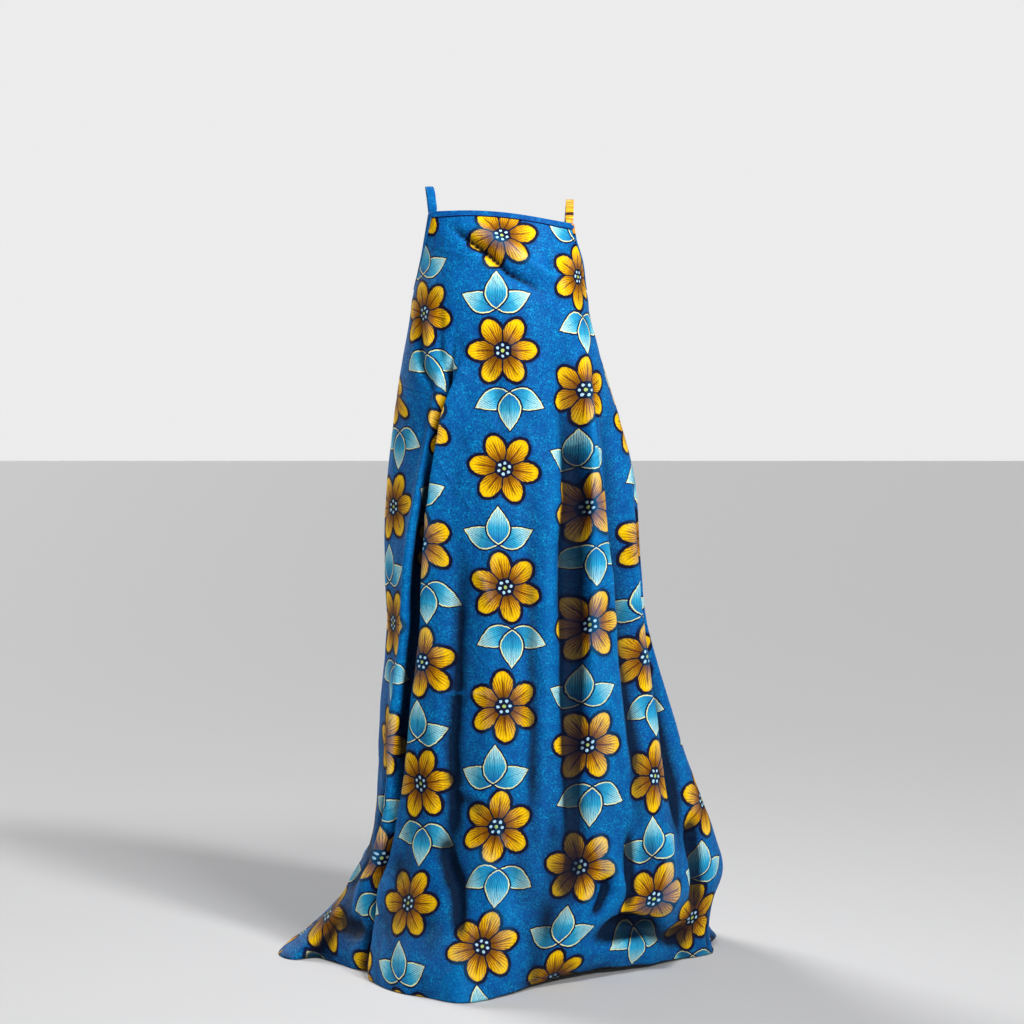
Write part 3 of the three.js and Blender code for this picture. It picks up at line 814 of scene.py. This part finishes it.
SCOOP = 0.214
SCOOP_CURVE = 2.3
BACK_ROWS = (0, 168, 40)
BACK_COLUMNS = 205
BACK_CREASES = [
    (-14, 15, (-0.210, 0.060), (-0.240, -0.160), (-0.280, -0.420)),
    (12, 16, (-0.130, 0.040), (-0.150, -0.220), (-0.160, -0.500)),
    (-12, 12, (-0.060, 0.070), (-0.064, -0.120), (-0.074, -0.360)),
    (-14, 16, (0.052, 0.060), (0.060, -0.180), (0.056, -0.480)),
    (12, 18, (0.120, 0.050), (0.150, -0.200), (0.160, -0.460)),
    (-14, 15, (0.205, 0.080), (0.236, -0.140), (0.262, -0.400)),
    (-9, 10, (-0.300, 0.270), (-0.240, 0.170), (-0.170, 0.080)),
    (-9, 11, (0.310, 0.250), (0.250, 0.160), (0.190, 0.060)),
    (4, 4, (-0.200, -0.420), (-0.100, -0.436), (0.010, -0.424)),
    (4, 4, (0.060, -0.560), (0.160, -0.580), (0.250, -0.560)),
    (-18, 18, (-0.360, -0.640), (-0.290, -0.740), (-0.270, -0.840)),
    (18, 20, (-0.180, -0.660), (-0.110, -0.740), (-0.080, -0.860)),
    (-18, 18, (0.120, -0.680), (0.190, -0.760), (0.200, -0.870)),
    (16, 19, (0.330, -0.620), (0.380, -0.740), (0.440, -0.830)),
    (-21, 15, (0.020, -0.760), (0.080, -0.800), (0.130, -0.860)),
]


def back_drop(around):
    """The back edge dips from the underarms to its lowest at centre back."""
    return UNDERARM + SCOOP * (1 - (np.abs(around - 180) / 90) ** SCOOP_CURVE)


line = np.linspace(90, 270, BACK_COLUMNS + 1)
drop = rows_below(back_drop(line), *BACK_ROWS)
around = np.broadcast_to(line, drop.shape).copy()
point = cloth_points(around, drop)[0]
point[:, (0, -1), 1] += SEAM / 2
back_flat = flat_cut(point, around, drop, middle=180, level=0.5)
back_points = creased(point, back_flat, BACK_CREASES, seed=11.0)
back_points[..., 2] = np.maximum(back_points[..., 2], CLOTH - HEM)
back_cloth = grid_piece("back_cloth", back_points, back_flat, THIN)
back_cloth.data.materials.append(printed_cotton)
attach(back_cloth, "root")
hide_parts("back_panel")


# Bindings
# Narrow strips of the same cotton are folded over the neck, the armholes and the low back edge, and
# are sewn through near their lower edges. The armhole strips run on over the shoulders as the straps.

BAND = 0.011
BAND_STAND = 0.0013
BAND_WALL = 0.0008
# From a strip's sewn edge to the cloth's edge: the share of its width, and how far it crowns
BAND_FACE = ((1, 0), (0.74, 0.0003), (0.48, 0.0004), (0.24, 0.0003), (0.04, 0))
# How far in from an edge its direction is taken, and the rows or columns that a strip's width reaches
EDGE_RUN = 0.004
EDGE_ROWS = 6
EDGE_COLUMNS = 12
# The neck strip leaves out the lines that lie under the armhole strips.
NECK_LINES = slice(4, -3)
BAND_CRUMPLE = 0.2
NECK_INDIGO = 0.0252
PATCH_ENDS = 0.020
PATCH_NAVY_ENDS = 0.026


def wrapped(lines, normals):
    """A grid that wraps a strip over an edge of cloth, from its hidden side to its outer side. Each line
    of the cloth starts on the edge and runs in from it."""
    steps = np.linalg.norm(np.diff(lines, axis=1), axis=-1)
    gone = np.hstack([np.zeros((len(lines), 1)), np.cumsum(steps, axis=1)])

    def at(values, distance):
        return np.stack([
            [np.interp(distance, run, column) for column in line.T] for run, line in zip(gone, values)
        ])

    beyond = at(lines, 0) - at(lines, EDGE_RUN)
    beyond /= np.linalg.norm(beyond, axis=-1, keepdims=True)
    face = [(share * BAND, rise) for share, rise in BAND_FACE]
    outer = [at(lines, d) + at(normals, d) * (BAND_STAND + rise) for d, rise in face]
    inner = [at(lines, d) - at(normals, d) * (THIN + BAND_STAND + rise) for d, rise in face]
    edge = at(lines, 0)
    facing = at(normals, 0)
    turn = [
        edge + beyond * BAND_STAND * 0.7 - facing * (THIN + BAND_STAND * 0.7),
        edge + beyond * BAND_STAND * 1.1 - facing * THIN / 2,
        edge + beyond * BAND_STAND * 0.7 + facing * BAND_STAND * 0.7,
    ]
    return np.stack([*inner, *turn, *outer[::-1]])


def strip_flat(points):
    """Each point's metres along a strip, and across it."""
    along = np.linalg.norm(np.diff(points.mean(axis=0), axis=0), axis=-1)
    across = np.linalg.norm(np.diff(points, axis=0), axis=-1).mean(axis=1)
    along = np.concatenate([[0], np.cumsum(along)])
    across = np.concatenate([[0], np.cumsum(across)])
    return np.broadcast_to(along, points.shape[:2]), np.broadcast_to(-across[:, None], points.shape[:2])


def strip_piece(name, points, wall, finish, node):
    """A strip of cloth on its grid. Its flat size is its cut width and length in metres."""
    flat = strip_flat(points)
    piece = grid_piece(name, points, flat, wall)
    piece.data.materials.append(finish)
    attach(piece, "root")
    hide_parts(node)
    return piece


bound_edge, tree = material("bound_edge")
vector, _, _ = cut_readings(tree)
finish_cloth(tree, blue_ground(tree, vector), vector, BAND_CRUMPLE)

# The neck strip's cut crosses the print's darker ground and ends on an indigo line.
neck_edge, tree = material("neck_edge")
vector, _, up = cut_readings(tree)
mottle = speckle(tree, vector, 70, 2.0).ramp(0.35, 0.7)
colour = coloured(tree, mottle, blue_ground(tree, vector), paint(0, 62, 132))
colour = coloured(tree, (-NECK_INDIGO - up).inside(), colour, paint(10, 22, 92))
finish_cloth(tree, colour, vector, BAND_CRUMPLE)

# The right armhole strip's cut starts on an ochre petal and its navy edge.
right_edge, tree = material("right_edge")
vector, across, _ = cut_readings(tree)
grain = speckle(tree, vector, 300, 2.0)
length = across + grain * 0.004
colour = coloured(tree, (PATCH_NAVY_ENDS - length).inside(), blue_ground(tree, vector), paint(20, 14, 30))
colour = coloured(tree, (PATCH_ENDS - length).inside(), colour, paint(226, 150, 4))
finish_cloth(tree, colour, vector, BAND_CRUMPLE)

front_facing = facing_of(front_points)
back_facing = facing_of(back_points)
chest = FRONT_ROWS[0] + 1


def down_and_in(values):
    """The lines of a grid that start on its top row."""
    return values[:EDGE_ROWS].transpose(1, 0, 2)


def up_and_in(values):
    """The lines of the front's chest that start on its left edge, from the underarm up."""
    return values[:chest, :EDGE_COLUMNS][::-1]


neck_points = wrapped(down_and_in(front_points)[NECK_LINES], down_and_in(front_facing)[NECK_LINES])
left_points = wrapped(up_and_in(front_points), up_and_in(front_facing))
right_points = wrapped(up_and_in(front_points[:, ::-1])[::-1], up_and_in(front_facing[:, ::-1])[::-1])
back_edge_points = wrapped(down_and_in(back_points), down_and_in(back_facing))
for name, points, finish, node, length, area in (
    ("neck_band", neck_points, neck_edge, "neck_binding", 0.279, None),
    ("left_armhole_band", left_points, bound_edge, "armhole_binding_left", 0.150, None),
    ("right_armhole_band", right_points, right_edge, "armhole_binding_right", 0.128, None),
    ("back_band", back_edge_points, bound_edge, "back_binding", 0.703, 0.0145),
):
    strip_piece(name, points, BAND_WALL, finish, node)


# Straps
# Each strap is a folded and stitched strip of the cotton, the armhole strip's upper part. It runs from
# behind the front's corner over the shoulder and straight down to the low back edge.

STRAP_WIDTH = 0.015
STRAP_TUCK = 0.018
STRAP_BEHIND = 0.0048
STRAP_WALL = 0.0015
STRAP_CROWN = 0.0005
STRAP_STEPS = 120
# The line over a shoulder: y back from the origin and rise from the shoulder's top, in millimetres. Its
# third point is the top.
SHOULDER_LINE = [(-40, -36), (-20, -11), (4, 0), (30, -12), (56, -46), (78, -104), (92, -190), (99, -280)]


def on_cloth(around, drop):
    """A point of the cloth's outer face, its outward direction, and the direction round the ring."""
    places = np.array([around, around - 0.4, around + 0.4, around, around], dtype=float)
    drops = np.array([drop, drop, drop, drop - 0.002, drop + 0.002], dtype=float)
    points = cloth_points(places, drops)[0]
    along = points[2] - points[1]
    normal = np.cross(points[4] - points[3], along)
    return points[0], normal / np.linalg.norm(normal), along / np.linalg.norm(along)


def strap_points(edge, top_x, top_z, back):
    """A strap's grid, from the front's edge over its own top to its place around on the back edge."""
    corner = float(neck_drop(edge))
    per_degree = float(ring(np.array(edge * 1.0), np.array(corner))[2])
    place = edge - math.copysign((STRAP_WIDTH / 2 + MM) / per_degree, edge)
    low = float(back_drop(back))

    def tucked(around, drop):
        point, normal, along = on_cloth(around, drop)
        return point - normal * STRAP_BEHIND, along

    front = [tucked(place, corner + share * STRAP_TUCK) for share in (1, 0.5, -0.05)]
    behind = [tucked(back, low - 0.004), tucked(back, low + 0.009), tucked(back, low + STRAP_TUCK)]
    start = tucked(place, corner)[0]
    end = tucked(back, low)[0]
    path = [point for point, _ in front]
    widths = [along for _, along in front]
    top_y = SHOULDER_LINE[2][0] * MM
    for y, rise in SHOULDER_LINE:
        y, z = y * MM, top_z + rise * MM
        share = (top_y - y) / (top_y - start[1]) if y < top_y else (top_z - z) / (top_z + low)
        path.append(np.array([lerp(top_x, start[0] if y < top_y else end[0], share), y, z]))
        widths.append(np.array([1.0, 0.0, 0.0]))
    path += [point for point, _ in behind]
    widths += [-along for _, along in behind]
    gone = np.concatenate([[0], np.cumsum(np.linalg.norm(np.diff(path, axis=0), axis=-1))])
    table = np.hstack([gone[:, None], np.array(path), np.array(widths)])
    _, *values = between(table, np.linspace(0, gone[-1], STRAP_STEPS + 1))
    centre = np.stack(values[:3], -1)
    across = np.stack(values[3:], -1)
    along = np.gradient(centre, axis=0)
    along /= np.linalg.norm(along, axis=-1, keepdims=True)
    across -= along * (across * along).sum(-1, keepdims=True)
    across /= np.linalg.norm(across, axis=-1, keepdims=True)
    outward = np.cross(across, along)
    shares = np.linspace(-0.5, 0.5, 9)[:, None, None]
    crown = STRAP_CROWN * (1 - (2 * shares) ** 2)
    return centre + across * shares * STRAP_WIDTH + outward * crown


# The right strap's cut runs along the ochre petals: how far along the first dark bar lies, the bars'
# pitch and half-width, and how far from a petal's middle its navy edge starts and ends
FIRST_BAR = 0.042
BAR_PITCH = 0.064
BAR_HALF = 0.0036
PETAL_ENDS = 0.068
NAVY_ENDS = 0.073
printed_strap, tree = material("printed_strap")
vector, across, _ = cut_readings(tree)
grain = speckle(tree, vector, 260, 2.0, (1, 0.4, 1))
tone = coloured(tree, grain.ramp(0.35, 0.7), paint(190, 128, 0), paint(246, 200, 6))
bars = (across - FIRST_BAR) / BAR_PITCH
from_bar = ((bars - bars.then("ROUND")) * BAR_PITCH).then("ABSOLUTE")
bar = (BAR_HALF - from_bar + (grain - 0.5) * 0.004).inside(0.001)
tone = coloured(tree, bar, tone, paint(58, 26, 10))
vein = ((across * 430 + grain * 3.0).then("SINE") - 0.8).inside(0.4) * (1.0 - bar)
tone = coloured(tree, vein * 0.5, tone, paint(120, 60, 0))
repeats = (across - FIRST_BAR) / REPEAT
aside = ((repeats - repeats.then("ROUND")) * REPEAT).then("ABSOLUTE") + (grain - 0.5) * 0.005
tone = coloured(tree, (aside - PETAL_ENDS).inside(), tone, paint(12, 16, 48))
tone = coloured(tree, (aside - NAVY_ENDS).inside(), tone, blue_ground(tree, vector))
finish_cloth(tree, tone, vector, BAND_CRUMPLE)

left_strap_points = strap_points(edge=-90, top_x=-0.138, top_z=0.012, back=212)
right_strap_points = strap_points(edge=90, top_x=0.125, top_z=-0.012, back=148)
for name, points, finish, node, slot, length in (
    ("left_strap", left_strap_points, bound_edge, "strap_left", "bound_edge", 0.539),
    ("right_strap", right_strap_points, printed_strap, "strap_right", "printed_strap", 0.511),
):
    strap = strip_piece(name, points, STRAP_WALL, finish, node)
    rounded = strap.modifiers.new("rounded_edges", "BEVEL")
    rounded.width = 0.0004
    rounded.segments = 2
    rounded.limit_method = "ANGLE"


# Stitching
# Small even machine stitches hold the bindings, the straps' edges and the turned hem. Each is a short
# grain of thread that stands a little proud of the cloth.

STITCH_PITCH = 0.0030
THREAD = 0.00028
# Half a grain's length, as a share of the pitch
GRAIN = 0.35
# How far in towards the next row of its grid the stitches of a binding and of a strap lie
BAND_SEWN = 0.6
STRAP_SEWN = 0.8


def thread_finish(name, dark, light):
    made, tree = material(name)
    shader = tree.nodes["Principled BSDF"]
    shader.inputs["Roughness"].default_value = 0.5
    place = tree.nodes.new("ShaderNodeTexCoord").outputs["Object"]
    twist = speckle(tree, place, 900, 1.0)
    tree.links.new(coloured(tree, twist.ramp(0.35, 0.65), dark, light), shader.inputs["Base Color"])
    return made


def stitched(name, line, facing, finish, slot):
    """Stitches along a line on the cloth. A straight row of grains is doubled until it is long enough, and
    then each grain is laid along the line."""
    gone = np.concatenate([[0], np.cumsum(np.linalg.norm(np.diff(line, axis=0), axis=-1))])
    count = int(gone[-1] / STITCH_PITCH)
    grains = bmesh.new()
    bmesh.ops.create_uvsphere(grains, u_segments=6, v_segments=4, radius=GRAIN)
    bmesh.ops.recalc_face_normals(grains, faces=grains.faces)
    made = 1
    while made < count:
        copies = bmesh.ops.duplicate(grains, geom=[*grains.verts, *grains.edges, *grains.faces])["geom"]
        moved = [part for part in copies if isinstance(part, bmesh.types.BMVert)]
        bmesh.ops.translate(grains, verts=moved, vec=(made, 0, 0))
        made *= 2
    spare = [v for v in grains.verts if v.co.x > count - 0.5]
    bmesh.ops.delete(grains, geom=spare, context="VERTS")
    places = np.array([v.co for v in grains.verts])
    at = (places[:, 0] + 0.5) * STITCH_PITCH
    middle = (np.round(places[:, 0]) + 0.5) * STITCH_PITCH

    def read(values, where):
        return np.stack([np.interp(where, gone, column) for column in values.T], -1)

    along = read(line, middle + MM) - read(line, middle - MM)
    along /= np.linalg.norm(along, axis=-1, keepdims=True)
    out = read(facing, middle)
    side = np.cross(out, along)
    side /= np.linalg.norm(side, axis=-1, keepdims=True)
    out = np.cross(along, side)
    laid = read(line, middle) + along * (at - middle)[:, None]
    laid += (side * places[:, 1:2] + out * places[:, 2:]) * THREAD / GRAIN
    for v, place in zip(grains.verts, laid):
        v.co = place
    for face in grains.faces:
        face.smooth = True
    mesh = bpy.data.meshes.new(name)
    grains.to_mesh(mesh)
    grains.free()
    piece = placed(name, mesh)
    mesh.materials.append(finish)
    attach(piece, "root")


def near_edge(points):
    """The line near a strip's outer edge, just above its face, and the way it faces."""
    facing = facing_of(points)
    return lerp(points[-1], points[-2], BAND_SEWN) + facing[-1] * THREAD * 0.5, facing[-1]


blue_thread = thread_finish("blue_thread", paint(0, 60, 130), paint(40, 130, 205))
ochre_thread = thread_finish("ochre_thread", paint(150, 84, 0), paint(240, 180, 30))
for name, points in (
    ("neck_stitches", neck_points),
    ("left_armhole_stitches", left_points),
    ("right_armhole_stitches", right_points),
    ("back_stitches", back_edge_points),
):
    stitched(name, *near_edge(points), blue_thread, "bound_edge")
for name, points, thread, slot in (
    ("left_strap_stitches", left_strap_points, blue_thread, "bound_edge"),
    ("right_strap_stitches", right_strap_points, ochre_thread, "printed_strap"),
):
    facing = facing_of(points)
    for side, row, inner in (("outer", 0, 1), ("inner", -1, -2)):
        line = lerp(points[row], points[inner], STRAP_SEWN) + facing[row] * THREAD * 0.5
        stitched(name + "_" + side, line, facing[row], thread, slot)
for name, points, flat in (
    ("front_hem_stitches", front_points, front_flat),
    ("back_hem_stitches", back_points, back_flat),
):
    facing = facing_of(points)
    above = flat[1] - flat[1][-1]
    row = int(np.argmin(np.abs(above.mean(axis=1) - HEM_TURN)))
    line = points[row, 2:-2] + facing[row, 2:-2] * THREAD * 0.5
    stitched(name, line, facing[row, 2:-2], blue_thread, "printed_cotton")


# Studio
# A pale floor and pale walls, lit softly from the front right, from behind and by a lamp above the
# neck edge, seen from the front from a little above half the height of the dress.

FLOOR_HALF = 400
FLOOR_TONE = 0.66
WALL_TONE = 0.84
# The rise of the view, as a sine, over which the walls darken into the ceiling
WALL_TOP = (0.21, 0.32)
CEILING = (0.09, 0.09, 0.10, 1)
KEY_PLACE = (0.5, -1.0, 0.85)
KEY_SIZE = 0.3
KEY_POWER = 25
CAMERA_PLACE = (0.0168, -4.0, -0.49)
CAMERA_DIP = 1.5
CAMERA_LENS = 75.2

floor_sheet = bmesh.new()
bmesh.ops.create_grid(floor_sheet, x_segments=1, y_segments=1, size=FLOOR_HALF)
bmesh.ops.translate(floor_sheet, verts=floor_sheet.verts, vec=(0, 0, -HEM))
floor_mesh = bpy.data.meshes.new("floor")
floor_sheet.to_mesh(floor_mesh)
floor_sheet.free()
floor = placed("floor", floor_mesh)
floor_paint, tree = material("floor_paint")
tree.nodes["Principled BSDF"].inputs["Base Color"].default_value = (FLOOR_TONE, FLOOR_TONE, FLOOR_TONE, 1)
tree.nodes["Principled BSDF"].inputs["Roughness"].default_value = 0.8
floor.data.materials.append(floor_paint)

world = bpy.data.worlds.new("studio")
world.use_nodes = True
sky = world.node_tree
direction = sky.nodes.new("ShaderNodeTexCoord").outputs["Generated"]
parts = sky.nodes.new("ShaderNodeSeparateXYZ")
sky.links.new(direction, parts.inputs[0])
overhead = Reading(sky, parts.outputs[2]).ramp(*WALL_TOP)
wall = coloured(sky, overhead, (WALL_TONE, WALL_TONE, WALL_TONE, 1), CEILING)
sky.links.new(wall, sky.nodes["Background"].inputs[0])
bpy.context.scene.world = world


def soft_light(name, towards, spread, strength):
    """An even light from far off, its edges softened by its spread in degrees."""
    lamp = bpy.data.lights.new(name, "SUN")
    lamp.angle = math.radians(spread)
    lamp.energy = strength
    placed(name, lamp).rotation_euler = Vector(towards).to_track_quat("Z", "Y").to_euler()


soft_light("front_light", (0.56, -0.6, 0.56), 8, 1.45)
soft_light("back_light", (-0.55, 0.72, 0.6), 20, 2.1)

# The key hangs in front of the neck edge and above it, so its light thins out towards the hem.
key = bpy.data.lights.new("key", "AREA")
key.shape = "SQUARE"
key.size = KEY_SIZE
key.energy = KEY_POWER
key_holder = placed("key", key)
key_holder.location = KEY_PLACE
key_holder.rotation_euler = Vector((0.5, -0.9, 1.2)).to_track_quat("Z", "Y").to_euler()

camera_data = bpy.data.cameras.new("camera")
camera_data.sensor_width = 36
camera_data.lens = CAMERA_LENS
camera = placed("camera", camera_data)
camera.location = CAMERA_PLACE
camera.rotation_euler = (math.radians(90 - CAMERA_DIP), 0, 0)
bpy.context.scene.camera = camera
bpy.context.scene.view_settings.view_transform = "Standard"
